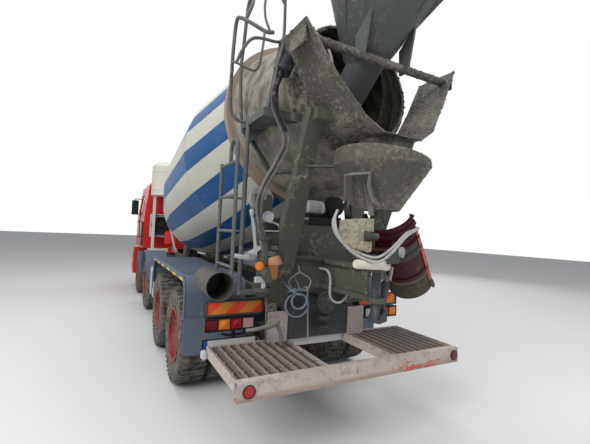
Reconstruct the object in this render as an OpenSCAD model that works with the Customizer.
// Concrete mixer truck with four axles. Sizes in millimetres.
// In the modules, X runs forward from the rear face of the rear step beam, Y to the left and Z up
// from the ground. place() then puts the origin at the middle of the whole truck on the ground.

/* [Wheels and axles] */
// Rear face of the step beam to the last axle
rear_axle_x = 1950; // [1850:10:2100]
// Gap between the two driven axles
bogie_gap = 1380; // [1320:10:1450]
// Gap between the second and the third axle
middle_gap = 2560; // [2500:10:2800]
// Gap between the two steered axles
front_gap = 1990; // [1950:10:2100]
// Front axle to the front of the truck
front_overhang = 1400; // [1350:10:1500]
// Outer radius of a tyre at its tread
tyre_r = 538; // [520:1:545]
// Width of a tyre at its side walls
tyre_w = 304; // [290:1:312]
// Radius of the rim where the tyre sits
rim_r = 287; // [280:1:292]
// Width over the rear tyres
rear_width = 2490; // [2440:5:2550]
// Distance between the middles of twin tyres
twin_gap = 350; // [340:1:370]
// Distance between the middles of the steered tyres
front_track = 2060; // [2020:5:2100]
// From the middle of a steered tyre in to its king pin
pin_inset = 160; // [150:5:180]
// Radius of a king pin
kingpin_r = 25; // [20:1:30]

/* [Chassis] */
// Top of the frame rails above the ground
rail_top = 1030; // [1010:5:1060]
// Height of a frame rail
rail_h = 300; // [260:5:320]
// Width over the frame rails
frame_w = 860; // [840:5:880]
// Rear end of the rails
rail_rear_x = 800; // [780:5:860]
// Thickness of a rail's web and flanges
rail_t = 9; // [7:0.5:12]
// Height of the drum's subframe
subframe_h = 100; // [80:5:110]

/* [Rear step] */
// Width of the step
step_w = 2266; // [2200:2:2300]
// Depth of the step, front to back
step_d = 846; // [780:2:880]
// Top of the step above the ground
step_top = 719; // [690:1:740]
// Height of the rear beam
beam_h = 138; // [120:1:150]
// Half of the gap between the two gratings
step_gap = 344; // [320:2:380]

/* [Drum] */
// Middle of the drum's mouth from the step beam
mouth_x = 300; // [260:5:340]
// Middle of the drum's mouth above the ground
mouth_z = 3180; // [3140:5:3220]
// Tilt of the drum's axis
drum_tilt = 11.2; // [10.5:0.1:11.8]
// Radius of the mouth
mouth_r = 565; // [540:5:580]
// Radius at the end of the rear cone
knee_r = 930; // [900:5:950]
// Radius of the belly
belly_r = 1132; // [1100:2:1140]
// Radius at the front edge
front_r = 985; // [950:5:1000]
// Thickness of the drum's wall
drum_t = 8; // [6:0.5:12]
// Outer radius of the roller ring
ring_r = 965; // [940:5:1020]
// Radius of a support roller
roller_r = 125; // [110:1:140]

/* [Hoppers and chute] */
// Radius of the loading hopper at its top
load_r = 560; // [500:5:600]
// Top of the loading hopper
load_top = 3980; // [3940:5:3995]
// Radius of the discharge hopper at its rim
drop_r = 393; // [370:1:410]
// Length of the chute
chute_l = 900; // [800:10:950]
// Outer radius of the chute's half pipe
chute_r = 215; // [190:5:230]
// Slope of the parked chute below level
chute_slope = 46; // [40:1:52]
// Way the parked chute points, turned to the right from straight ahead
chute_turn = 66; // [60:1:75]

/* [Cab] */
// Length of the cab
cab_l = 2010; // [1950:10:2050]
// Width of the cab
cab_w = 2280; // [2240:5:2300]
// Top of the cab
cab_top = 2880; // [2840:5:2950]
// Underside of the cab's floor
cab_floor = 1200; // [1190:5:1220]
// Thickness of the cab's walls and doors
cab_t = 50; // [40:1:60]
// Gap round a door
door_gap = 8; // [7:0.5:9]

/* [Hidden] */
$fn = 48;

// Places along the truck, from the rear face of the step beam
axle_4 = rear_axle_x;
axle_3 = axle_4 + bogie_gap;
axle_2 = axle_3 + middle_gap;
axle_1 = axle_2 + front_gap;
front_x = axle_1 + front_overhang;
load_x = -120;
rear_x = load_x - load_r;
mid_x = (front_x + rear_x) / 2;
run_gap = 0.3;
rail_half = frame_w / 2;
sub_top = rail_top + subframe_h;
twin_out = rear_width / 2 - tyre_w / 2;
twin_in = twin_out - twin_gap;
steer_y = front_track / 2;
pin_y = steer_y - pin_inset;

// Drum stations, measured along its axis from the mouth
knee_s = 1000;
belly_s = 2200;
front_cone_s = 3900;
front_s = 5000;
dish_d = 330;
flange_r = 250;
flange_t = 50;
ring_s = 950;
ring_w = 90;
roller_angle = 33;

// A point of an arc, and a list of them
function on_arc(c, r, a) = c + r * [cos(a), sin(a)];
function arc(c, r, a0, a1, n) = [for (i = [0:n]) on_arc(c, r, a0 + (a1 - a0) * i / n)];
function unit(v) = v / norm(v);
function tangent(p, i) = unit(p[min(i + 1, len(p) - 1)] - p[max(i - 1, 0)]);
function ring_points(c, t, ref, r, n) =
    let (u = unit(cross(t, ref)), w = cross(u, t))
    [for (k = [0:n - 1]) c + r * cos(360 * k / n) * u + r * sin(360 * k / n) * w];

module place() {
    translate([-mid_x, 0, 0]) children();
}

module both() {
    children();
    mirror([0, 1, 0]) children();
}

module side(left) {
    mirror([0, left ? 0 : 1, 0]) children();
}

// A straight round bar from one point to another
module bar(p, q, r) {
    d = q - p;
    translate(p) rotate([0, acos(d.z / norm(d)), atan2(d.y, d.x)]) cylinder(h = norm(d), r = r);
}

// A box given by its lowest and highest corners
module block(a, b) {
    translate(a) cube(b - a);
}

// A round bar swept along points, with ref never along the path
module sweep(p, r, ref = [0, 0, 1], n = 8) {
    m = len(p);
    points = [for (i = [0:m - 1]) each ring_points(p[i], tangent(p, i), ref, r, n)];
    walls = [for (i = [0:m - 2], k = [0:n - 1])
        let (a = i * n + k, b = i * n + (k + 1) % n) each [[a, b, b + n], [a, b + n, a + n]]];
    polyhedron(concat(points), concat(
        [[for (k = [n - 1:-1:0]) k]], walls, [[for (k = [0:n - 1]) (m - 1) * n + k]]));
}

// Extrudes a side view, X to the right and Z up, between two places across the truck
module side_view(y0, y1) {
    translate([0, y1, 0]) rotate([90, 0, 0]) linear_extrude(y1 - y0) children();
}

// Extrudes a front view, Y to the right and Z up, between two places along the truck
module front_view(x0, x1) {
    translate([x0, 0, 0]) rotate([90, 0, 90]) linear_extrude(x1 - x0) children();
}

module drum_place() {
    translate([mouth_x, 0, mouth_z]) rotate([0, 90 + drum_tilt, 0]) children();
}

// Frame
frame_front_x = axle_1 + 1020;
cross_xs = [rail_rear_x + 60, (axle_3 + axle_4) / 2, axle_3 + 1150, axle_2 - 700, axle_2 + 760, axle_1 - 700];
cab_rear = front_x - 40 - cab_l;
tilt_x = front_x - 190;
tilt_z = 1000;
tilt_pin_r = 20;
jaw_bore = 26;
jaw_z = rail_top - rail_h / 2;

module c_rail() {
    front_view(rail_rear_x, frame_front_x) difference() {
        translate([rail_half - 85, rail_top - rail_h]) square([85, rail_h]);
        translate([rail_half - 86, rail_top - rail_h + rail_t]) square([86 - rail_t, rail_h - 2 * rail_t]);
    }
}

module chassis_frame() color("dimgray") place() {
    member = rail_half - rail_t - run_gap;
    // rails with the brackets and pins that the cab tilts on
    both() {
        c_rail();
        block([frame_front_x - 120, rail_half - 1, tilt_z - 150], [tilt_x + 45, rail_half + 20, tilt_z + 45]);
        bar([tilt_x, rail_half + 19, tilt_z], [tilt_x, rail_half + 75, tilt_z], tilt_pin_r);
    }
    for (x = cross_xs)
        block([x - 50, -member, rail_top - rail_h + 40], [x + 50, member, rail_top - 50]);
    block([frame_front_x - 60, -member, rail_top - rail_h + 20], [frame_front_x, member, rail_top - 20]);
    // rear cross plate with the towing jaw
    difference() {
        union() {
            block([rail_rear_x - 12, -rail_half, rail_top - rail_h - 10],
                [rail_rear_x - run_gap, rail_half, rail_top]);
            block([rail_rear_x - 130, -60, jaw_z - 65], [rail_rear_x - 11, 60, jaw_z + 65]);
        }
        block([rail_rear_x - 131, -61, jaw_z - 30], [rail_rear_x - 40, 61, jaw_z + 30]);
        translate([rail_rear_x - 85, 0, jaw_z - 70]) cylinder(h = 140, r = jaw_bore);
    }
}

// Axle beams, springs, drive shaft and rear brake drums
spring_y = 395;
spring_w = 80;
leaf_t = 22;
axle_z = tyre_r;
boss_r = 55;
boss_h = 70;
hub_face = 888;

function leaf_line(x, z, half, rise, n) = [for (i = [-n:n]) [x + half * i / n, z + rise * pow(i / n, 2)]];

module leaf(x, z, half, rise, t, y0, y1) {
    top = leaf_line(x, z, half, rise, 5);
    low = [for (i = [len(top) - 1:-1:0]) top[i] - [0, t]];
    side_view(y0, y1) polygon(concat(top, low));
}

module spring_pack(x, seat) {
    both() {
        leaf(x, seat + 3 * leaf_t, 760, 90, leaf_t, spring_y - spring_w / 2, spring_y + spring_w / 2);
        leaf(x, seat + 2 * leaf_t + 0.2, 600, 56, leaf_t, spring_y - spring_w / 2, spring_y + spring_w / 2);
        leaf(x, seat + leaf_t + 0.4, 420, 27, leaf_t, spring_y - spring_w / 2, spring_y + spring_w / 2);
        block([x - 60, spring_y - 48, seat - 14], [x + 60, spring_y + 48, seat + 3 * leaf_t + 30]);
    }
}

module front_beam(x) {
    beam_low = axle_z - 120;
    difference() {
        union() {
            front_view(x - 55, x + 55) polygon([
                [-pin_y, axle_z - boss_h + 10], [-pin_y + 75, axle_z - boss_h + 10], [-pin_y + 200, beam_low - 40],
                [pin_y - 200, beam_low - 40], [pin_y - 75, axle_z - boss_h + 10], [pin_y, axle_z - boss_h + 10],
                [pin_y, axle_z + boss_h - 10], [pin_y - 75, axle_z + boss_h - 10], [pin_y - 220, beam_low + 80],
                [-pin_y + 220, beam_low + 80], [-pin_y + 75, axle_z + boss_h - 10], [-pin_y, axle_z + boss_h - 10]]);
            both() translate([x, pin_y, axle_z - boss_h]) cylinder(h = 2 * boss_h, r = boss_r);
        }
        both() translate([x, pin_y, axle_z - boss_h - 1]) cylinder(h = 2 * boss_h + 2, r = kingpin_r + 0.05);
    }
    spring_pack(x, beam_low + 80 + 14);
    // hangers from the leaf ends to the rail
    both() for (k = [-1, 1]) block([x + k * 745 - 35, 360, beam_low + 200],
        [x + k * 745 + 35, rail_half - run_gap, rail_top - rail_h - run_gap]);
}

module rear_housing(x) {
    both() {
        bar([x, 0, axle_z], [x, hub_face - 60, axle_z], 72);
        bar([x, 640, axle_z], [x, hub_face, axle_z], 185);
    }
    translate([x - 150, 0, axle_z]) rotate([0, 90, 0]) cylinder(h = 300, r = 215);
}

gearbox_x = axle_1 - 640;
module axles() color("darkslategray") place() {
    front_beam(axle_1);
    front_beam(axle_2);
    rear_housing(axle_3);
    rear_housing(axle_4);
    bogie_x = (axle_3 + axle_4) / 2;
    both() {
        leaf(bogie_x, axle_z + 185, bogie_gap / 2 + 70, -142, 60, spring_y - 45, spring_y + 45);
        block([bogie_x - 90, spring_y - 60, axle_z + 90], [bogie_x + 90, spring_y + 60, rail_top - rail_h - run_gap]);
    }
    // drive shafts, the long one under the cross members to the gearbox
    bar([axle_3 + 140, 0, axle_z + 40], [gearbox_x - 3, 0, 712], 50);
    bar([axle_4 + 140, 0, axle_z + 20], [axle_3 - 140, 0, axle_z + 20], 50);
}

module engine_block() color("gray") place() {
    block([axle_1 - 300, -300, 640], [axle_1 + 850, 300, 1150]);
    block([gearbox_x, -200, 660], [axle_1 - 299, 200, 960]);
}

// Subframe, rear pedestal, front pedestal and the two leaning legs
post_x = 1054;
leg_top = [150, 520, 2790];
leg_foot = [rail_rear_x + 60, 470, rail_top + 22];
pedestal_x = 5640;
// the subframe ends this far behind the cab, with the tank's rack on its end
cab_gap = 330;
sub_front = cab_rear - cab_gap;

function drum_point(s, y, down) = [mouth_x + s * cos(drum_tilt) - down * sin(drum_tilt), y,
                                   mouth_z - s * sin(drum_tilt) - down * cos(drum_tilt)];
roller_reach = ring_r + roller_r + run_gap;
roller_down = roller_reach * cos(roller_angle);
roller_y = roller_reach * sin(roller_angle);
roller_c = drum_point(ring_s, roller_y, roller_down);
eye_low = 1230;
eye_top = 1480;
function leg_x(z) = leg_foot.x + (leg_top.x - leg_foot.x) * (z - leg_foot.z) / (leg_top.z - leg_foot.z);

module leg() {
    // a box leg, wide at its foot and narrow at its top
    d = leg_top - leg_foot;
    lean = atan2(-(leg_top.x - leg_foot.x), leg_top.z - leg_foot.z);
    l = norm([d.x, 0, d.z]);
    translate([leg_foot.x, 0, leg_foot.z]) rotate([0, -lean, 0])
        rotate([90, 0, 90]) translate([0, 0, -45]) linear_extrude(90) polygon([
            [leg_foot.y - 90, 0], [leg_foot.y + 110, 0], [leg_foot.y + 125, l * 0.45],
            [leg_top.y + 70, l], [leg_top.y - 52, l], [leg_foot.y - 70, l * 0.45]]);
}

module superstructure() color("slategray") place() {
    both() {
        block([rail_rear_x, rail_half - 80, rail_top + run_gap], [sub_front, rail_half, sub_top]);
        leg();
        // rear pedestal posts and roller brackets
        front_view(post_x - 70, post_x + 70) polygon([
            [rail_half - 80, sub_top - 1], [rail_half + 60, sub_top - 1], [roller_y + 60, roller_c.z - roller_r - 25],
            [roller_y - 90, roller_c.z - roller_r - 25]]);
        drum_place() translate([roller_down, roller_y, ring_s]) difference() {
            translate([-30, -90, -75]) cube([roller_r + 75, 180, 150]);
            translate([-140, -91, -50]) cube([roller_r + 150, 182, 100]);
            translate([0, 0, -80]) cylinder(h = 160, r = 30.1);
        }
    }
    block([post_x - 60, -roller_y, roller_c.z - roller_r - 180], [post_x + 60, roller_y, roller_c.z - roller_r - 60]);
    // front pedestal
    both() front_view(pedestal_x - 60, pedestal_x + 240) polygon([
        [rail_half - 80, sub_top - 1], [rail_half, sub_top - 1], [330, 1870], [230, 1870]]);
    block([pedestal_x - 60, -330, 1770], [pedestal_x + 240, 330, 1869]);
    // ears on the legs for the collar, and arms for the discharge hopper
    both() difference() {
        block([60, 400, 2690], [150, 560, 2780]);
        front_view(0, 200) polygon(concat([[0, 3000], [-50, 2500]], collar_skin(run_gap)));
    }
    both() difference() {
        translate([leg_x(2345), 520, 2338]) rotate([0, 0, -180 + atan2(520, leg_x(2345) - drop_x)])
            translate([0, -35, 0]) cube([300, 70, 14]);
        translate([drop_x, 0, 2300]) cylinder(h = 100, r = drop_r + run_gap);
    }
    // cross plate between the legs, and the beam with two eyes for the chute's post
    block([700, -400, 1232], [716, 400, 1850]);
    for (z = [eye_low, eye_top]) difference() {
        union() {
            block([swivel_x, -40, z], [701, 40, z + 40]);
            translate([swivel_x, 0, z]) cylinder(h = 40, r = 70);
        }
        translate([swivel_x, 0, z - 1]) cylinder(h = 42, r = post_r + 0.05);
    }
    block([swivel_x + 100, -8, eye_low + 39], [701, 8, eye_top + 1]);
}

module drum_gearbox() color("dimgray") place() drum_place() {
    tail = front_s + dish_d + flange_t + run_gap;
    translate([0, 0, tail]) cylinder(h = 60, r = 200);
    translate([0, 0, tail + 59]) cylinder(h = 240, r = 165);
    translate([0, 0, tail + 298]) cylinder(h = 180, r = 95);
    // foot plate on the front pedestal
    translate([100, -240, tail + 90]) cube([95, 480, 150]);
}

// Horseshoe collar behind the mouth, and the hopper it drops into
collar_line = [[0, 2560], [190, 2560], [345, 2660], [560, 2960], [790, 3340]];
collar_t = 10;
function collar_skin(g) = [for (p = collar_line) p + [collar_t + g, -(collar_t + g) * (p.x == 0 ? 1 : 0.6)]];
neck_r = 200;
drop_x = -70;
drop_rim = 2465;
drop_band = 2335;
drop_low = 1985;
drop_low_r = 160;
drop_t = 8;
cross_x = -40;
cross_z = 3240;
cross_r = 34;
cross_half = 790;

module collar() color("tan") place() {
    skin = collar_skin(0);
    difference() {
        union() {
            intersection() {
                both() front_view(-400, 500) polygon(concat([[-1, 2550], [-1, 2560]], collar_line,
                    [for (i = [len(skin) - 1:-1:1]) skin[i]]));
                side_view(-900, 900) polygon([[-330, 2500], [148, 2500], [181, 2680], [306, 3360],
                    [-110, 3360], [-210, 2900]]);
            }
            translate([drop_x, 0, drop_rim - 60]) cylinder(h = 2552 - drop_rim + 60, r = neck_r);
        }
        translate([drop_x, 0, drop_rim - 61]) cylinder(h = 300, r = neck_r - 8);
    }
    // cross tube between the tops of the arms
    bar([cross_x, -cross_half, cross_z], [cross_x, cross_half, cross_z], cross_r);
    both() block([cross_x - 60, cross_half - 12, cross_z - 70], [cross_x + 190, cross_half - 0.01, cross_z + 50]);
}

module discharge_hopper() color("tan") place() translate([drop_x, 0, 0]) difference() {
    union() {
        translate([0, 0, drop_band]) cylinder(h = drop_rim - drop_band, r = drop_r);
        translate([0, 0, drop_low]) cylinder(h = drop_band - drop_low + 0.01, r1 = drop_low_r, r2 = drop_r);
    }
    translate([0, 0, drop_band]) cylinder(h = drop_rim - drop_band + 1, r = drop_r - drop_t);
    // the rim is lower on the right
    translate([0, drop_r, drop_rim]) rotate([8.3, 0, 0]) translate([-500, -1000, 0]) cube([1000, 1100, 300]);
    translate([0, 0, drop_low - 1])
        cylinder(h = drop_band - drop_low + 1.02, r1 = drop_low_r - drop_t - 0.6, r2 = drop_r - drop_t);
}

// Rear step with its two gratings
grate_drop = 12;
grate_bar = 8;
grate_pitch = 42;
step_t = 8;

module rear_step() color("rosybrown") place() {
    low = step_top - beam_h;
    // rear beam, a channel open to the front
    difference() {
        block([0, -step_w / 2, low], [70, step_w / 2, step_top]);
        block([step_t, -step_w / 2 - 1, low + step_t], [71, step_w / 2 + 1, step_top - step_t]);
    }
    both() {
        for (y = [step_w / 2 - step_t, step_gap])
            block([60, y, step_top - 90], [step_d, y + step_t, step_top]);
        block([step_d - step_t, step_gap, step_top - 90], [step_d, step_w / 2, step_top]);
        for (y = [step_gap + grate_pitch : grate_pitch : step_w / 2 - grate_pitch / 2])
            block([69, y, step_top - grate_drop - 30], [step_d - 2, y + grate_bar, step_top - grate_drop]);
        for (x = [240 : 220 : step_d - 100])
            block([x, step_gap + 2, step_top - grate_drop - 26], [x + 8, step_w / 2 - 2, step_top - grate_drop - 6]);
        // hanger plates from the frame's end
        block([rail_rear_x - 24, step_gap + 20, step_top - 92], [rail_rear_x - 12 - run_gap, step_gap + 230, 1000]);
        block([rail_rear_x - 24, step_gap + 20, step_top - 100], [step_d, step_gap + 40, step_top - 60]);
    }
    block([step_d - step_t, -step_gap - step_t, step_top - 90], [step_d, step_gap + step_t, step_top]);
}

// Tail lamps, marker boards and the blank number plate
board_x = 890;
board_y = 1148;
board_w = 565;
board_h = 140;
board_top = 1111;
lamp_w = 470;
lamp_h = 120;
lamp_top = 952;
plate_w = 520;
plate_h = 110;
plate_top = 754;

module rear_lamps() color("orangered") place() {
    both() {
        block([board_x, board_y - board_w, board_top - board_h], [board_x + 6, board_y, board_top]);
        block([board_x - 10, board_y - lamp_w, lamp_top - lamp_h], [board_x + 60, board_y, lamp_top]);
        // bracket plate that carries both and reaches the frame
        block([board_x + 61, rail_half + run_gap, lamp_top - 80], [board_x + 67, board_y, board_top - 20]);
        block([board_x + 5.9, board_y - 400, board_top - 110], [board_x + 61.1, board_y - 380, board_top - 90]);
        block([board_x + 5.9, board_y - 120, board_top - 110], [board_x + 61.1, board_y - 100, board_top - 90]);
        block([board_x + 59.9, board_y - 400, lamp_top - 79], [board_x + 61.1, board_y - 20, lamp_top - 10]);
    }
    block([board_x + 20, board_y + 5 - plate_w, plate_top - plate_h], [board_x + 24, board_y + 5, plate_top]);
    block([board_x + 24, board_y - 300, plate_top - 60], [board_x + 62, board_y - 270, lamp_top - 81]);
    block([board_x + 61, board_y - 300, plate_top - 60], [board_x + 67, board_y - 270, lamp_top - 79]);
}

// Mudguards over the driven wheels and the second steered axle, with flaps
guard_top = 1262;
guard_t = 8;
guard_in = 585;
guard_out = 1243;
guard_rear_x = 1370;
guard_front_x = 4020;
guard_r = 190;
lip_h = 55;

function guard_path(t) = concat(
    [[guard_rear_x + t, 830]],
    arc([guard_rear_x + guard_r, guard_top - guard_r], guard_r - t, 180, 90, 6),
    arc([guard_front_x - guard_r, guard_top - guard_r], guard_r - t, 90, 0, 6),
    [[guard_front_x - t, 700]]);

// Arm from the rail up to a mudguard's inner edge
module guard_arm(x, end) {
    front_view(x - 12, x + 12) polygon([[rail_half + run_gap, rail_top - 110], [rail_half + run_gap, rail_top - 50],
        [end.x - 15, end.y], [end.x + 15, end.y], [end.x + 15, end.y - 60]]);
}

module mudguards() color("slategray") place() both() {
    difference() {
        side_view(guard_in, guard_out) polygon(guard_path(0));
        side_view(guard_in - 1, guard_out - guard_t) polygon(guard_path(guard_t));
        side_view(guard_out - guard_t - 1, guard_out + 1) polygon(guard_path(lip_h));
        block([guard_rear_x - 10, guard_in - 1, 600], [guard_front_x + 10, guard_out + 1, 831]);
    }
    // brackets to the frame
    for (x = [axle_4, axle_3]) guard_arm(x, [guard_in + 40, guard_top - 4]);
    // mudguard over the second axle
    translate([axle_2, 0, axle_z]) rotate([90, 0, 0]) translate([0, 0, -1225])
        rotate([0, 0, 12]) rotate_extrude(angle = 156) translate([688, 0]) square([guard_t, 420]);
    // rear part of the first axle's mudguard
    translate([axle_1, 0, axle_z]) rotate([90, 0, 0]) translate([0, 0, -1225])
        rotate([0, 0, 125]) rotate_extrude(angle = 43) translate([688, 0]) square([guard_t, 420]);
    guard_arm(axle_1 - 560, [835, axle_z + 408]);
    guard_arm(axle_2, [835, axle_z + 692]);
    // rear flap
    block([guard_rear_x - 12 - run_gap, guard_in + 20, 470], [guard_rear_x - run_gap, guard_out - 5, 850]);
    block([guard_rear_x - run_gap - 1, guard_in + 20, 835], [guard_rear_x + 1, guard_out - 5, 849]);
}

// Ladder, hand rails and the small work platform on the left
ladder_y = 1050;
ladder_x0 = 500;
ladder_x1 = 940;
ladder_low = 1400;
ladder_hoop = 2540;
rung_pitch = 300;
tube_r = 17;
tray = [[400, 540], [400, 880], [960, 880], [960, 810], [560, 625]];
tray_in = [[406, 550], [406, 874], [954, 874], [954, 813.8], [557.3, 630.4]];
tray_z = 2740;

module ladder() color("gray") place() {
    // the left stringer goes over in a hoop, as a hand rail
    r = 90;
    bar([ladder_x0, ladder_y, 2380], [ladder_x0, ladder_y, ladder_hoop - r], tube_r);
    translate([ladder_x0 + r, ladder_y, ladder_hoop - r]) rotate([90, 0, 0])
        rotate_extrude(angle = 180) translate([r, 0]) circle(tube_r);
    bar([ladder_x0 + 2 * r, ladder_y, 2340], [ladder_x0 + 2 * r, ladder_y, ladder_hoop - r], tube_r);
    bar([ladder_x0, ladder_y, 2350], [ladder_x1, ladder_y, 2350], 14);
    for (x = [ladder_x0, ladder_x1]) bar([x, ladder_y, ladder_low], [x, ladder_y, 2380], tube_r);
    for (z = [ladder_low + 60 : rung_pitch : 2340])
        bar([ladder_x0, ladder_y, z], [ladder_x1, ladder_y, z], 14);
    // work platform
    translate([0, 0, tray_z]) linear_extrude(70) difference() {
        polygon(tray);
        polygon(tray_in);
    }
    translate([0, 0, tray_z + 40]) linear_extrude(6) polygon(tray);
    // post that carries the tray, standing on the frame's end
    bar([780, 880, 1180], [780, 870, tray_z + 41], 22);
    bar([780, 880, 1200], [780, 584, 1200], 30);
    for (k = [1, 2]) bar([780, 878, ladder_low + 60 + k * rung_pitch], [780, ladder_y, ladder_low + 60 + k * rung_pitch], 10);
}

module water_tank() color("ivory") place() {
    tank_c = [sub_front - 30, 740];
    translate([tank_c.x, tank_c.y, 2500]) cylinder(h = 700, r = 310);
    translate([tank_c.x, tank_c.y, 3200]) cylinder(h = 80, r1 = 310, r2 = 220);
    // rack under it
    for (y = [520, 960])
        block([sub_front - 60, y - 30, sub_top + run_gap], [sub_front, y + 30, 2501]);
    block([sub_front - 60, rail_half - 60, sub_top + run_gap], [sub_front, 990, sub_top + 80]);
}

module oil_cooler() color("silver") place() {
    block([sub_front + 50, 560, 1500], [sub_front + 190, 1020, 2050]);
    block([sub_front + run_gap, 505, 1700], [sub_front + 51, 600, 1800]);
    block([sub_front + run_gap, 935, 1700], [sub_front + 51, 985, 1800]);
}

// Fuel tank on the left, battery box and air tanks on the right
tank_r = 70;
function box_line(y0, y1, z0, z1, r) = concat(
    arc([y1 - r, z0 + r], r, -90, 0, 5), arc([y1 - r, z1 - r], r, 0, 90, 5),
    arc([y0 + r, z1 - r], r, 90, 180, 5), arc([y0 + r, z0 + r], r, 180, 270, 5));

module side_tanks() color("silver") place() {
    front_view(4250, 5130) polygon(box_line(rail_half + 90, 1170, 440, 990, tank_r));
    mirror([0, 1, 0]) front_view(4250, 4850) polygon(box_line(rail_half + 90, 1170, 480, 960, 25));
    mirror([0, 1, 0]) bar([4900, 800, 900], [5170, 800, 900], 110);
    mirror([0, 1, 0]) bar([4900, 800, 660], [5170, 800, 660], 110);
    // straps and arms to the rail
    for (x = [4330, 5000]) block([x, rail_half + run_gap, 760], [x + 60, rail_half + 92, 960]);
    mirror([0, 1, 0]) for (x = [4330, 4750]) block([x, rail_half + run_gap, 760], [x + 60, rail_half + 92, 960]);
    mirror([0, 1, 0]) block([4849, rail_half + run_gap, 770], [5130, 690, 800]);
    mirror([0, 1, 0]) block([4990, 600, 640], [5050, 700, 920]);
}

module silencer() color("dimgray") place() mirror([0, 1, 0]) {
    bar([6640, 860, 800], [7120, 860, 800], 230);
    for (x = [6720, 7000]) block([x, rail_half + run_gap, 760], [x + 40, 700, 860]);
    bar([6615, 860, 700], [6641, 860, 700], 60);
}

// Front bumper with its corner boxes and steps
module bumper() color("firebrick") place() {
    low = 420;
    top = 920;
    difference() {
        union() {
            translate([0, 0, low]) linear_extrude(top - low) polygon(concat(
                [[front_x - 330, -1235]], arc([front_x - 160, -1075], 160, -90, 0, 5),
                arc([front_x - 160, 1075], 160, 0, 90, 5), [[front_x - 330, 1235]]));
            both() block([axle_1 + 680, 900, low], [front_x - 329, 1235, 1140]);
        }
        // hollow behind, step recesses and lamp recesses
        block([front_x - 331, -899, low - 1], [front_x - 60, 899, top + 1]);
        both() block([axle_1 + 760, 1130, low + 130], [front_x - 380, 1236, low + 300]);
        both() block([axle_1 + 760, 1130, low + 400], [front_x - 380, 1236, low + 560]);
        both() block([front_x - 40, 760, 620], [front_x + 1, 1080, 800]);
    }
    both() {
        block([front_x - 40, 770, 630], [front_x - 8, 1070, 790]);
        block([frame_front_x + run_gap, 300, 780], [front_x - 59, 400, 900]);
    }
}

// Discharge pipe with its valve, and the open hose tube on the left
module rear_pipes() color("dimgray") place() {
    pipe_x = 620;
    pipe_y = 720;
    bar([pipe_x, pipe_y, 1260], [pipe_x, pipe_y, 1700], 60);
    bar([pipe_x, pipe_y, 1700], [pipe_x, pipe_y, 1730], 95);
    bar([pipe_x, pipe_y, 1420], [pipe_x - 150, pipe_y, 1380], 55);
    bar([pipe_x, pipe_y, 1240], [pipe_x, pipe_y, 1270], 85);
    // bracket to the leg
    block([pipe_x + 22, 589, 1460], [pipe_x + 70, pipe_y + 2, 1500]);
    // open tube
    difference() {
        bar([760, 1060, 1260], [1240, 1060, 1260], 130);
        bar([759, 1060, 1260], [1200, 1060, 1260], 123);
    }
    difference() {
        union() {
            block([1000, rail_half + run_gap, 1060], [1040, 1060, 1100]);
            block([1000, 1040, 1099], [1040, 1080, 1140]);
        }
        bar([759, 1060, 1260], [1241, 1060, 1260], 130 + run_gap);
    }
}

hose_r = 12;
hose_path = concat(
    [for (x = [699.7, 665, 632]) [x, 68, 1425]],
    [for (p = arc([600, 1325], 100, 90, 180, 4)) [p.x, 68, p.y]], [[500, 68, 1270]],
    [for (p = arc([-32, 1215], 100, 0, -180, 8)) [500, p.x, p.y]], [[500, -132, 1262]],
    [for (p = arc([600, 1290], 100, 180, 90, 4)) [p.x, -132, p.y]],
    [for (x = [632, 665, 699.7]) [x, -132, 1390]]);

module hanging_hose() color("lightgray") place() {
    sweep(hose_path, hose_r, [1, 1, 0]);
}

// Cab, a hollow shell whose walls are all as thick as its doors
belt_z = 1990;
screen_rake = 13.7;
roof_c = [cab_rear + cab_l - 350, cab_top - 170];
half_w = cab_w / 2;
side_lean = 6.5;
roof_side = [half_w - 225, cab_top - 140];
door_rear_x = cab_rear + 830;
door_front_x = cab_rear + cab_l - 260;
door_top = cab_top - 230;
window_low = belt_z + 20;
hinge_x = door_front_x + 3;
hinge_y = half_w + 12;
hinge_zs = [1420, 1860];
hinge_pin_r = 6;

function cab_side(i) = concat([[cab_rear + i, cab_floor + i]],
    arc([cab_rear + 130, cab_top - 130], 130 - i, 180, 90, 4),
    arc(roof_c, 170 - i, 90, screen_rake, 4),
    [[roof_c.x + 350 - i, belt_z], [roof_c.x + 350 - i, cab_floor + i]]);
function cab_half(i) = concat([[half_w - i, cab_floor + i], [half_w - i, 2000]],
    arc(roof_side, 140 - i, side_lean, 90, 5));
function cab_front_view(i) = let (h = cab_half(i), n = len(h))
    concat(h, [for (k = [n - 1:-1:0]) [-h[k].x, h[k].y]]);

module cab_solid(i) {
    intersection() {
        side_view(-half_w - 1, half_w + 1) polygon(cab_side(i));
        front_view(cab_rear - 10, cab_rear + cab_l + 50) polygon(cab_front_view(i));
    }
}

function door_line(g) = [[door_rear_x + g, cab_floor + 60 + g], [door_front_x - g, cab_floor + 60 + g],
    [door_front_x - g, belt_z + 40], [door_front_x - 125 - g, door_top - g], [door_rear_x + g, door_top - g]];
function window_line(g) = [[door_rear_x + 70 + g, window_low + g], [door_front_x - 75 - g, window_low + g],
    [door_front_x - 180 - g, door_top - 70 - g], [door_rear_x + 70 + g, door_top - 70 - g]];

module screen_hole(g) {
    front_view(cab_rear + cab_l - 330, cab_rear + cab_l + 20) polygon([
        [-1010 + g, belt_z + 10 + g], [1010 - g, belt_z + 10 + g], [930 - g, cab_top - 190 - g], [-930 + g, cab_top - 190 - g]]);
}

module rear_window_hole(g) {
    for (y = [-620, 160])
        block([cab_rear - 5, y + g, 2080 + g], [cab_rear + 80, y + 460 - g, 2420 - g]);
}

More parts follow.
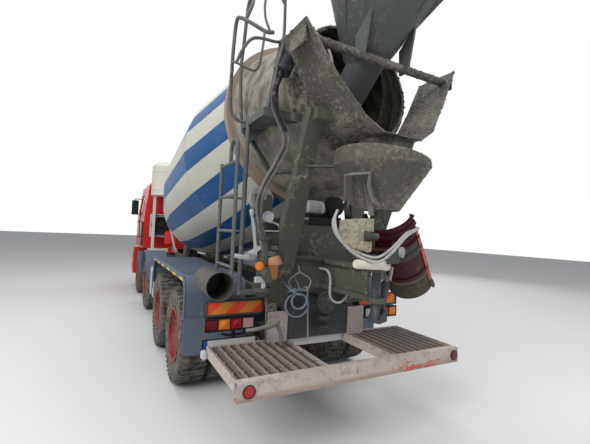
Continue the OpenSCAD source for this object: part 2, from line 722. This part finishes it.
module cab_shell() color("firebrick") place() {
    difference() {
        union() {
            difference() {
                cab_solid(0);
                cab_solid(cab_t);
            }
            // lugs and pins the doors hang on
            both() for (z = hinge_zs) {
                for (dz = [-46, 36]) {
                    block([hinge_x + 8, half_w - 1, z + dz], [hinge_x + 40, hinge_y + 8, z + dz + 10]);
                    translate([hinge_x, hinge_y, z + dz]) cylinder(h = 10, r = 11);
                    block([hinge_x, hinge_y - 8, z + dz], [hinge_x + 10, hinge_y + 8, z + dz + 10]);
                }
                translate([hinge_x, hinge_y, z - 40]) cylinder(h = 80, r = hinge_pin_r);
            }
            // brackets the cab tilts on
            both() block([tilt_x - 50, rail_half + 35, tilt_z - 40], [tilt_x + 50, rail_half + 65, cab_floor + 1]);
        }
        both() side_view(half_w - 400, half_w + 5) polygon(door_line(0));
        screen_hole(0);
        rear_window_hole(0);
        both() bar([tilt_x, rail_half + 30, tilt_z], [tilt_x, rail_half + 70, tilt_z], tilt_pin_r + 0.05);
    }
}

module pane(i) {
    difference() {
        cab_solid(i);
        cab_solid(i + 6);
    }
}

module cab_glass() color("lightsteelblue", 0.5) place() {
    intersection() {
        pane(14);
        union() {
            screen_hole(run_gap);
            rear_window_hole(run_gap);
        }
    }
}

module door(left) color("firebrick") place() side(left) {
    intersection() {
        difference() {
            cab_solid(0);
            cab_solid(cab_t);
            side_view(half_w - 400, half_w + 5) polygon(window_line(0));
        }
        side_view(half_w - 400, half_w + 5) polygon(door_line(door_gap));
    }
    for (z = hinge_zs) difference() {
        union() {
            translate([hinge_x, hinge_y, z - 30]) cylinder(h = 60, r = 11);
            block([hinge_x - 60, half_w - 1, z - 28], [hinge_x - 5, hinge_y + 4, z + 28]);
        }
        translate([hinge_x, hinge_y, z - 31]) cylinder(h = 62, r = hinge_pin_r + 0.05);
    }
}

module door_glass(left) color("lightsteelblue", 0.5) place() side(left) intersection() {
    pane(20);
    side_view(half_w - 400, half_w + 5) polygon(window_line(run_gap));
}

// Dash, tunnel and steering wheel
floor_z = cab_floor + cab_t + run_gap;
module cab_interior() color("dimgray") place() {
    dash_x = cab_rear + cab_l - cab_t - run_gap;
    side_view(-1040, 1040) polygon([[dash_x - 430, 1880], [dash_x - 380, 1640], [dash_x - 150, 1500],
        [dash_x - 150, floor_z], [dash_x, floor_z], [dash_x, 1930], [dash_x - 200, 1960]]);
    side_view(-260, 260) polygon([[cab_rear + 500, floor_z], [cab_rear + 560, floor_z + 240],
        [dash_x - 160, floor_z + 240], [dash_x - 149, floor_z]]);
    // steering column and wheel
    translate([dash_x - 520, 520, 1990]) rotate([0, -58, 0]) {
        rotate_extrude($fn = 32) translate([215, 0]) circle(15, $fn = 12);
        cylinder(h = 30, r = 60, center = true);
        for (a = [90, 210, 330]) rotate([0, 0, a]) translate([40, -14, -8]) cube([172, 28, 14]);
        translate([0, 0, -330]) cylinder(h = 325, r = 28);
    }
}

module seat(y) {
    x = cab_rear + 620;
    block([x - 20, y - 190, floor_z], [x + 400, y + 190, floor_z + 220]);
    side_view(y - 250, y + 250) polygon(concat(
        [[x - 60, floor_z + 219]], arc([x + 440, floor_z + 290], 70, -90, 90, 5),
        [[x + 60, floor_z + 350]], arc([x - 120, floor_z + 960], 55, 0, 180, 5), [[x - 120, floor_z + 300]]));
}

module seats() color("darkslategray") place() {
    seat(560);
    seat(-560);
}

// Grille, sun visor, mirrors and rear corner pieces
module cab_trim() color("dimgray") place() {
    nose = cab_rear + cab_l;
    // grille with slats
    difference() {
        block([nose + run_gap, -720, 1230], [nose + 34, 720, 1760]);
        for (z = [1290:90:1660]) block([nose + 12, -680, z], [nose + 35, 680, z + 60]);
    }
    // sun visor
    side_view(-900, 900) polygon([[nose - 172.2, 2700], [nose + 25, 2640], [nose + 28, 2650], [nose - 175.1, 2712]]);
    both() {
        block([nose - 210, 1150, 2060], [nose - 150, 1330, 2480]);
        bar([nose - 180, 1082.8, 2520], [nose - 180, 1240, 2520], 12);
        bar([nose - 180, 1240, 2530], [nose - 180, 1240, 2470], 12);
    }
}

// Drum
function dish_line(t) = [for (k = [0:5]) let (a = 90 * k / 5)
    [flange_r - t + (front_r - flange_r) * pow(cos(a), 0.8), front_s + (dish_d - t) * pow(sin(a), 1.0)]];
function drum_out() = concat([[mouth_r, 0], [knee_r, knee_s], [belly_r, belly_s], [belly_r, front_cone_s]],
    dish_line(0), [[flange_r, front_s + dish_d + flange_t], [0, front_s + dish_d + flange_t]]);
function drum_in() = concat([[0, front_s + dish_d - drum_t], [flange_r - drum_t, front_s + dish_d - drum_t]],
    [for (k = [4:-1:0]) dish_line(drum_t)[k]],
    [[belly_r - drum_t, front_cone_s], [belly_r - drum_t, belly_s], [knee_r - drum_t, knee_s], [mouth_r - drum_t, 0]]);
function drum_r_at(s) = s < knee_s ? mouth_r + (knee_r - mouth_r) * s / knee_s
    : knee_r + (belly_r - knee_r) * (s - knee_s) / (belly_s - knee_s);

module drum_shell() color("steelblue") place() drum_place() {
    rotate_extrude($fn = 96) polygon(concat(drum_out(), drum_in()));
    rotate_extrude($fn = 96) polygon([[mouth_r - 1, 0], [mouth_r + 16, 0], [mouth_r + 16, 24], [mouth_r + 4, 24]]);
}

module drum_ring() color("silver") place() drum_place() rotate_extrude($fn = 96) polygon([
    [drum_r_at(ring_s - ring_w / 2) + run_gap, ring_s - ring_w / 2], [ring_r, ring_s - ring_w / 2],
    [ring_r, ring_s + ring_w / 2], [drum_r_at(ring_s + ring_w / 2) + run_gap, ring_s + ring_w / 2]]);

// Two spiral blades on the inside of the rear cone
blade_s0 = 60;
blade_s1 = 1500;
blade_turns = 1.15;
blade_steps = 36;
blade_t = 8;
function blade_ring(k, start) = let (f = k / blade_steps, s = blade_s0 + (blade_s1 - blade_s0) * f,
        a = start + 360 * blade_turns * f, out = drum_r_at(s) - drum_t - run_gap, in = out - 60 - 170 * min(1, f * 4))
    [[in * cos(a), in * sin(a), s], [out * cos(a), out * sin(a), s],
     [out * cos(a), out * sin(a), s + blade_t], [in * cos(a), in * sin(a), s + blade_t]];

module blade(start) {
    m = blade_steps;
    points = [for (k = [0:m]) each blade_ring(k, start)];
    walls = [for (k = [0:m - 1], j = [0:3]) let (a = 4 * k + j, b = 4 * k + (j + 1) % 4)
        each [[a, b + 4, b], [a, a + 4, b + 4]]];
    polyhedron(points, concat([[0, 1, 2, 3]], walls, [[4 * m + 3, 4 * m + 2, 4 * m + 1, 4 * m]]));
}

module drum_blades() color("tan") place() drum_place() {
    blade(40);
    blade(220);
}

module roller(left) color("dimgray") place() side(left) drum_place() translate([roller_down, roller_y, ring_s]) {
    cylinder(h = ring_w - 10, r = roller_r, center = true);
    cylinder(h = 160, r = 30, center = true);
}

// Loading hopper, carried by the cross tube
spout_c = [250, 3300];
spout_r = 170;
load_t = 8;
load_wall_x = 350;

module load_cone(t) {
    hull() {
        translate([spout_c.x, 0, spout_c.y]) rotate([0, -30, 0]) cylinder(h = 1, r = spout_r - t, $fn = 32);
        translate([load_x, 0, load_top - 1]) cylinder(h = 1, r = load_r - t, $fn = 32);
    }
}

// A point of the cone's middle line, where its radius is r
function load_at(r) = let (t = (r - spout_r) / (load_r - spout_r))
    [spout_c.x + t * (load_x - spout_c.x), spout_c.y + t * (load_top - spout_c.y)];

module loading_hopper() color("gray") place() {
    difference() {
        union() {
            intersection() {
                load_cone(0);
                block([-900, -900, 3000], [load_wall_x, 900, load_top]);
            }
            both() side_view(230, 250) polygon([[cross_x - 50, cross_z - 40], [cross_x + 50, cross_z - 40],
                load_at(239) - [164.5, 0], load_at(325) - [263, 0]]);
        }
        intersection() {
            translate([0, 0, 0.5]) load_cone(load_t);
            block([-900, -900, 2990], [load_wall_x - load_t, 900, load_top + 1]);
        }
        translate([load_x, 0, load_top - 2]) intersection() {
            cylinder(h = 5, r = load_r - load_t, $fn = 32);
            block([-900, -900, -1], [load_wall_x - load_t - load_x, 900, 6]);
        }
        translate([spout_c.x, 0, spout_c.y]) rotate([0, -30, 0]) translate([0, 0, -5])
            cylinder(h = 12, r = spout_r - load_t, $fn = 32);
        both() bar([cross_x, 225, cross_z], [cross_x, 255, cross_z], cross_r + 0.05);
    }
    // trough that leads into the drum
    translate([spout_c.x, 0, spout_c.y]) rotate([0, 42, 0]) half_pipe(-60, 330, spout_r + 2, load_t, true);
}

// Swivel bracket of the chute. Its own frame has X along the parked chute from the swivel axis.
swivel_x = drop_x;
post_r = 40;
post_low = 1070;
post_top = 1560;
lift_e = 120;
lift_z = 1650;
lift_pin_r = 20;
lug_gap = 1;

module swivel_place() {
    translate([swivel_x, 0, 0]) rotate([0, 0, -chute_turn]) children();
}

module chute_place() {
    swivel_place() translate([lift_e, 0, lift_z]) rotate([0, chute_slope, 0]) children();
}

ram_foot = [80, 1140];
ram_eye = [200, -20];
ram_top = [lift_e + ram_eye.x * cos(chute_slope) + ram_eye.y * sin(chute_slope),
           lift_z - ram_eye.x * sin(chute_slope) + ram_eye.y * cos(chute_slope)];
ram_d = ram_top - ram_foot;
ram_l = norm(ram_d);
ram_a = atan2(ram_d.y, ram_d.x);
ram_pin_r = 14;
ram_body_l = 262;

module ram_place() {
    swivel_place() translate([ram_foot.x, 0, ram_foot.y]) rotate([0, -ram_a, 0]) children();
}

module chute_bracket() color("wheat") place() swivel_place() {
    translate([0, 0, post_low]) cylinder(h = post_top - post_low, r = post_r);
    difference() {
        union() {
            translate([0, 0, post_top - 1]) cylinder(h = 30, r = 110);
            for (y = [-145, 121]) side_view(y, y + 24) polygon([[-100, post_top], [100, post_top],
                [lift_e + 40, lift_z - 10], [lift_e + 30, lift_z + 35], [lift_e - 30, lift_z + 35], [-60, lift_z - 10]]);
            block([-60, -145, post_top], [90, 145, post_top + 29]);
            // fork for the lift ram
            for (y = [-60, 42]) side_view(y, y + 18) polygon([[-40, post_low], [ram_foot.x + 25, post_low],
                [ram_foot.x + 25, ram_foot.y + 25], [ram_foot.x - 25, ram_foot.y + 25]]);
            block([-40, -60, post_low], [ram_foot.x + 25, 60, post_low + 30]);
            translate([0, 0, eye_top + 40 + run_gap]) cylinder(h = 16, r = 65);
        }
        bar([lift_e, -150, lift_z], [lift_e, 150, lift_z], lift_pin_r + 0.05);
        bar([ram_foot.x, -70, ram_foot.y], [ram_foot.x, 70, ram_foot.y], ram_pin_r + 0.05);
    }
}

// Half pipe with its hinge tube and ribs. Its own frame has X down the slope.
chute_x0 = -200;
chute_x1 = chute_x0 + chute_l - 20;
chute_axis_z = 40 + chute_r;
chute_t = 6;
fold_x = chute_x1 + 16;
fold_z = chute_axis_z + 8;
ext_l = 520;
ext_r = chute_r - 15;

module half_pipe(x0, x1, r, t, up) {
    translate([x0, 0, 0]) rotate([90, 0, 90]) rotate([0, 0, up ? 0 : 180])
        linear_extrude(x1 - x0) difference() {
            circle(r);
            circle(r - t);
            translate([-r - 1, 0]) square([2 * r + 2, r + 1]);
        }
}

module chute() color("maroon") place() chute_place() {
    translate([0, 0, chute_axis_z]) {
        half_pipe(chute_x0, chute_x1, chute_r, chute_t, true);
        for (x = [chute_x0 + 60, chute_x0 + 330, chute_x0 + 600])
            half_pipe(x, x + 40, chute_r + 10, 11, true);
        for (y = [-chute_r, chute_r - 22]) block([chute_x0, y, -10], [chute_x1, y + 22, 0]);
    }
    // lift hinge tube and its web
    bar([0, -120.7, 0], [0, 120.7, 0], 34);
    bar([0, -144.7, 0], [0, 144.7, 0], lift_pin_r);
    for (y = [-100, 76]) side_view(y, y + 24) polygon([[-30, 0], [30, 0], [90, 90], [-90, 90]]);
    // lug for the ram
    difference() {
        side_view(-10, 10) polygon([[ram_eye.x - 60, 46], [ram_eye.x + 60, 46], [ram_eye.x + 38, ram_eye.y - 38],
            [ram_eye.x - 38, ram_eye.y - 38]]);
        bar([ram_eye.x, -20, ram_eye.y], [ram_eye.x, 20, ram_eye.y], ram_pin_r + 13);
    }
    // fold hinge ears
    for (y = [-chute_r - 16, chute_r]) difference() {
        side_view(y, y + 16) polygon([[chute_x1 - 80, chute_axis_z - 60], [fold_x + 14, fold_z - 20],
            [fold_x + 14, fold_z + 16], [chute_x1 - 40, fold_z + 8], [chute_x1 - 80, chute_axis_z]]);
        bar([fold_x, y - 1, fold_z], [fold_x, y + 17, fold_z], 8.05);
    }
}

module chute_extension() color("darkred") place() chute_place() {
    translate([0, 0, fold_z + 8]) {
        half_pipe(fold_x - ext_l, fold_x - 20, ext_r, chute_t, false);
        for (y = [-ext_r - 8, ext_r - 10]) block([fold_x - ext_l, y, 0], [fold_x - 10, y + 18, 30]);
    }
    // hinge pins
    for (k = [-1, 1]) {
        bar([fold_x, k * (ext_r - 8), fold_z], [fold_x, k * (chute_r + 16), fold_z], 8);
        block([fold_x - 11, k > 0 ? ext_r - 8 : -ext_r - 6, fold_z - 8],
            [fold_x + 8, k > 0 ? ext_r + 6 : -ext_r + 8, fold_z + 30]);
    }
}

module lift_barrel() color("silver") place() ram_place() difference() {
    union() {
        bar([30, 0, 0], [ram_body_l, 0, 0], 36);
        bar([0, -59.7, 0], [0, 59.7, 0], ram_pin_r);
        bar([0, -41.7, 0], [0, 41.7, 0], 28);
        block([0, -20, -24], [40, 20, 24]);
    }
    bar([60, 0, 0], [ram_body_l + 1, 0, 0], 18.05);
}

module lift_rod() color("silver") place() ram_place() {
    bar([70, 0, 0], [ram_l - 100, 0, 0], 18);
    block([ram_l - 101, -34, -22], [ram_l - 74, 34, 22]);
    for (y = [-34, 16]) block([ram_l - 75, y, -20], [ram_l + 20, y + 18, 20]);
    bar([ram_l, -30, 0], [ram_l, 30, 0], ram_pin_r - 2);
}

// Knuckles carry the steered wheels on upright king pins
ear_t = 36;
module knuckle(x, left) color("dimgray") place() side(left) translate([x, pin_y, axle_z]) {
    clear = boss_h + 1;
    translate([0, 0, -clear - ear_t + 2]) cylinder(h = 2 * (clear + ear_t) - 4, r = kingpin_r);
    for (z = [clear, -clear - ear_t]) {
        translate([0, 0, z]) cylinder(h = ear_t, r = 52);
        block([-50, 0, z], [50, 92, z + ear_t]);
    }
    block([-60, 64, -clear - ear_t], [60, 92, clear + ear_t]);
    bar([0, 91, 0], [0, steer_y - pin_y - 60, 0], 62);
    // brake shield
    bar([0, 86, 0], [0, 98, 0], 185);
}

// Tyres and rims. Side views are in radius and place across the wheel.
module tyre(x, y) {
    w = tyre_w / 2;
    translate([x, y, axle_z]) rotate([90, 0, 0]) rotate_extrude($fn = 72) polygon([
        [rim_r + run_gap, -w * 0.76], [rim_r + 14, -w * 0.84], [rim_r + 74, -w * 0.96], [rim_r + 140, -w],
        [rim_r + 205, -w * 0.97], [tyre_r - 10, -w * 0.88], [tyre_r, -w * 0.76],
        [tyre_r, w * 0.76], [tyre_r - 10, w * 0.88], [rim_r + 205, w * 0.97], [rim_r + 140, w],
        [rim_r + 74, w * 0.96], [rim_r + 14, w * 0.84], [rim_r + run_gap, w * 0.76]]);
}

module barrel_line() {
    w = tyre_w / 2;
    polygon([[rim_r - 12, -w * 0.95], [rim_r + 15, -w * 0.95], [rim_r + 15, -w * 0.88], [rim_r, -w * 0.88],
        [rim_r, w * 0.88], [rim_r + 15, w * 0.88], [rim_r + 15, w * 0.95], [rim_r - 12, w * 0.95]]);
}

module hand_holes(y, r, n) {
    for (k = [0:n - 1]) rotate([0, 0, 360 * k / n]) translate([r, 0, y]) cylinder(h = 200, r = 26);
}

// Steered wheel's rim, its disc bulging outwards. Here Z points outwards.
module steered_rim(x, left) color("firebrick") place() side(left)
    translate([x, steer_y, axle_z]) rotate([-90, 0, 0]) {
        rotate_extrude() barrel_line();
        difference() {
            rotate_extrude() polygon([[0, 40], [150, 40], [185, 30], [rim_r - 11, -30], [rim_r - 11, -46],
                [175, 14], [100, 24], [0, 24]]);
            hand_holes(-100, 222, 8);
        }
        translate([0, 0, 39]) cylinder(h = 85, r = 105);
        translate([0, 0, -60 + run_gap]) cylinder(h = 85, r = 110);
    }

// Twin rims whose discs meet in the middle, with the hub
module twin_rims(x, left) color("firebrick") place() side(left)
    translate([x, 0, axle_z]) rotate([-90, 0, 0]) {
        meet = (twin_in + twin_out) / 2;
        for (y = [twin_in, twin_out]) translate([0, 0, y]) rotate_extrude() barrel_line();
        difference() {
            union() {
                for (k = [0, 1]) translate([0, 0, meet]) mirror([0, 0, k]) rotate_extrude() polygon([
                    [100, -0.01], [185, -0.01], [rim_r - 11, 75], [rim_r - 11, 92], [180, 14], [100, 14]]);
            }
            hand_holes(meet - 100, 228, 8);
        }
        translate([0, 0, hub_face + run_gap]) cylinder(h = meet + 130 - hub_face, r = 130);
        translate([0, 0, meet + 129]) cylinder(h = 50, r = 92);
    }

module twin_tyres(x, left) color("dimgray") place() side(left) {
    tyre(x, twin_out);
    tyre(x, twin_in);
}

module single_tyre(x, left) color("dimgray") place() side(left) tyre(x, steer_y);

chassis_frame();
axles();
engine_block();
superstructure();
drum_gearbox();
collar();
discharge_hopper();
rear_step();
rear_lamps();
mudguards();
ladder();
water_tank();
oil_cooler();
side_tanks();
silencer();
bumper();
rear_pipes();
hanging_hose();
cab_shell();
cab_glass();
cab_interior();
seats();
cab_trim();
door(true);  // door_left
door(false);  // door_right
door_glass(true);  // door_glass_left
door_glass(false);  // door_glass_right
drum_shell();
drum_ring();
drum_blades();
roller(true);  // roller_left
roller(false);  // roller_right
loading_hopper();
chute_bracket();
chute();
chute_extension();
lift_barrel();
lift_rod();
knuckle(axle_1, true);  // knuckle_1_left
knuckle(axle_1, false);  // knuckle_1_right
knuckle(axle_2, true);  // knuckle_2_left
knuckle(axle_2, false);  // knuckle_2_right
single_tyre(axle_1, true);  // tyre_1_left
single_tyre(axle_1, false);  // tyre_1_right
single_tyre(axle_2, true);  // tyre_2_left
single_tyre(axle_2, false);  // tyre_2_right
twin_tyres(axle_3, true);  // tyres_3_left
twin_tyres(axle_3, false);  // tyres_3_right
twin_tyres(axle_4, true);  // tyres_4_left
twin_tyres(axle_4, false);  // tyres_4_right
steered_rim(axle_1, true);  // rim_1_left
steered_rim(axle_1, false);  // rim_1_right
steered_rim(axle_2, true);  // rim_2_left
steered_rim(axle_2, false);  // rim_2_right
twin_rims(axle_3, true);  // rims_3_left
twin_rims(axle_3, false);  // rims_3_right
twin_rims(axle_4, true);  // rims_4_left
twin_rims(axle_4, false);  // rims_4_right
